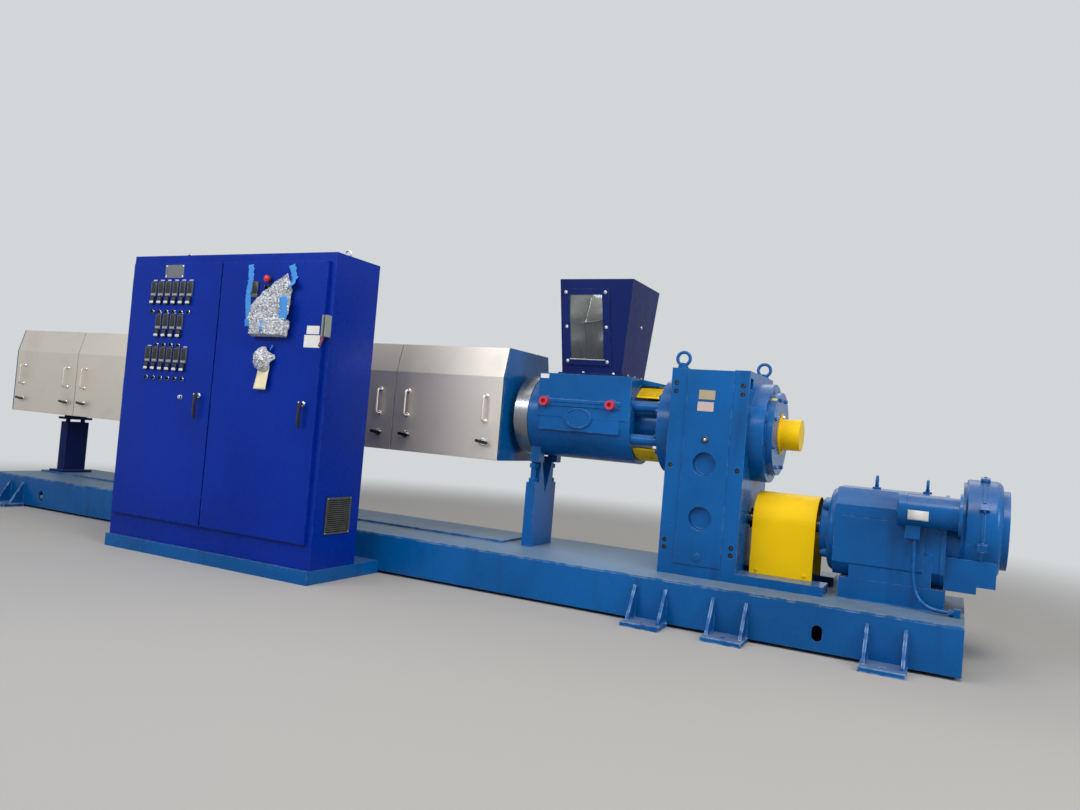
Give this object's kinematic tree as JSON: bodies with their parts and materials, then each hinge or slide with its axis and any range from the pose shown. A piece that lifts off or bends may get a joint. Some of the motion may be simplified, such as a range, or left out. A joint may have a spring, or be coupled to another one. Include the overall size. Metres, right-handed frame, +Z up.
{
  "type": "single-screw plastic extruder",
  "caption": "Single-screw plastic extruder on a welded base, with covered barrel, hopper, gearbox, motor and blower, and its control cabinet.",
  "frame": {"origin": "middle of the machine's box, on the floor", "axes": "+X along the machine towards the motor, +Y away from the operator side, +Z up"},
  "size_m": [7.844, 1.8346, 1.9678],
  "materials": {
    "teal_enamel": "satin enamel over castings and welded steel",
    "cabinet_powder_coat": "smooth semi-gloss powder coat",
    "navy_enamel": "semi-gloss enamel",
    "yellow_enamel": "satin enamel",
    "stainless_sheet": "brushed sheet",
    "turned_steel": "turned, oiled",
    "zinc_plated_steel": "zinc plate",
    "black_plastic": "moulded",
    "red_plastic": "moulded",
    "window_glass": "clear sheet in a frame"
  },
  "bodies": {
    "machine": {"base_front_beam": "teal_enamel", "base_rear_beam": "teal_enamel", "base_cross_members": "teal_enamel", "base_deck": "teal_enamel", "barrel_rail": "teal_enamel", "foot_brackets": "teal_enamel", "cabinet_platform": "teal_enamel", "cabinet_back": "cabinet_powder_coat", "cabinet_sides": "cabinet_powder_coat", "cabinet_roof_floor": "cabinet_powder_coat", "cabinet_front_frame": "cabinet_powder_coat", "disconnect_switch": "zinc_plated_steel", "vent_grille": "black_plastic", "lifting_eyes": "turned_steel", "barrel": "turned_steel", "screw": "turned_steel", "heater_castings": "stainless_sheet", "barrel_supports": "navy_enamel", "cover_back": "stainless_sheet", "cover_pan": "stainless_sheet", "cover_end_panels": "teal_enamel", "feed_ring": "turned_steel", "feed_casting": "teal_enamel", "pipe_plugs": "red_plastic", "shank_housing": "teal_enamel", "lantern_guards": "yellow_enamel", "hopper": "navy_enamel", "hopper_window": "window_glass", "feed_pedestal": "teal_enamel", "gearbox_flange": "teal_enamel", "gearbox_housing": "teal_enamel", "gearbox_caps": "teal_enamel", "thrust_housing": "teal_enamel", "shaft_end_guard": "yellow_enamel", "coupling": "turned_steel", "coupling_guard": "yellow_enamel", "motor_pedestal": "teal_enamel", "motor_frame": "teal_enamel", "motor_end_bell": "teal_enamel", "blower_motor": "teal_enamel", "blower_drum": "teal_enamel", "blower_conduit": "teal_enamel"},
    "left_door": {"door_left": "cabinet_powder_coat", "temperature_controllers": "black_plastic"},
    "right_door": {"door_right": "cabinet_powder_coat", "operator_panel": "black_plastic"},
    "left_door_lever": {"door_lever_left": "black_plastic"},
    "right_door_lever": {"door_lever_right": "black_plastic"},
    "switch_lever": {"disconnect_lever": "red_plastic"},
    "cover_1": {"barrel_cover_1": "stainless_sheet"},
    "cover_2": {"barrel_cover_2": "stainless_sheet"},
    "cover_3": {"barrel_cover_3": "stainless_sheet"},
    "cover_4": {"barrel_cover_4": "stainless_sheet"},
    "cover_5": {"barrel_cover_5": "stainless_sheet"},
    "cover_6": {"barrel_cover_6": "stainless_sheet"}
  },
  "joints": [
    {"name": "left_door_hinge", "type": "hinge", "parent": "machine", "child": "left_door", "pos_m": [-1.249, -0.86119, 0.227], "axis": [0, 0, -1], "range_deg": [0, 90]},
    {"name": "right_door_hinge", "type": "hinge", "parent": "machine", "child": "right_door", "pos_m": [-0.44, -0.86119, 0.227], "axis": [0, 0, -1], "range_deg": [0, 90]},
    {"name": "left_lever_turn", "type": "hinge", "parent": "left_door", "child": "left_door_lever", "pos_m": [-0.547, -0.86619, 1.025], "axis": [0, 1, 0], "range_deg": [0, 90]},
    {"name": "right_lever_turn", "type": "hinge", "parent": "right_door", "child": "right_door_lever", "pos_m": [0.295, -0.86619, 1.025], "axis": [0, 1, 0], "range_deg": [0, 90]},
    {"name": "switch_throw", "type": "hinge", "parent": "machine", "child": "switch_lever", "pos_m": [0.413, -0.86569, 1.452], "axis": [-1, 0, 0], "range_deg": [0, 110]},
    {"name": "cover_1_hinge", "type": "hinge", "parent": "machine", "child": "cover_1", "pos_m": [0.6995, 0.58831, 1.499], "axis": [-1, 0, 0], "range_deg": [0, 75]},
    {"name": "cover_2_hinge", "type": "hinge", "parent": "machine", "child": "cover_2", "pos_m": [-0.1215, 0.58831, 1.499], "axis": [-1, 0, 0], "range_deg": [0, 75]},
    {"name": "cover_3_hinge", "type": "hinge", "parent": "machine", "child": "cover_3", "pos_m": [-0.9425, 0.58831, 1.499], "axis": [-1, 0, 0], "range_deg": [0, 75]},
    {"name": "cover_4_hinge", "type": "hinge", "parent": "machine", "child": "cover_4", "pos_m": [-1.7635, 0.58831, 1.499], "axis": [-1, 0, 0], "range_deg": [0, 75]},
    {"name": "cover_5_hinge", "type": "hinge", "parent": "machine", "child": "cover_5", "pos_m": [-2.5845, 0.58831, 1.499], "axis": [-1, 0, 0], "range_deg": [0, 75]},
    {"name": "cover_6_hinge", "type": "hinge", "parent": "machine", "child": "cover_6", "pos_m": [-3.4055, 0.58831, 1.499], "axis": [-1, 0, 0], "range_deg": [0, 75]}
  ]
}
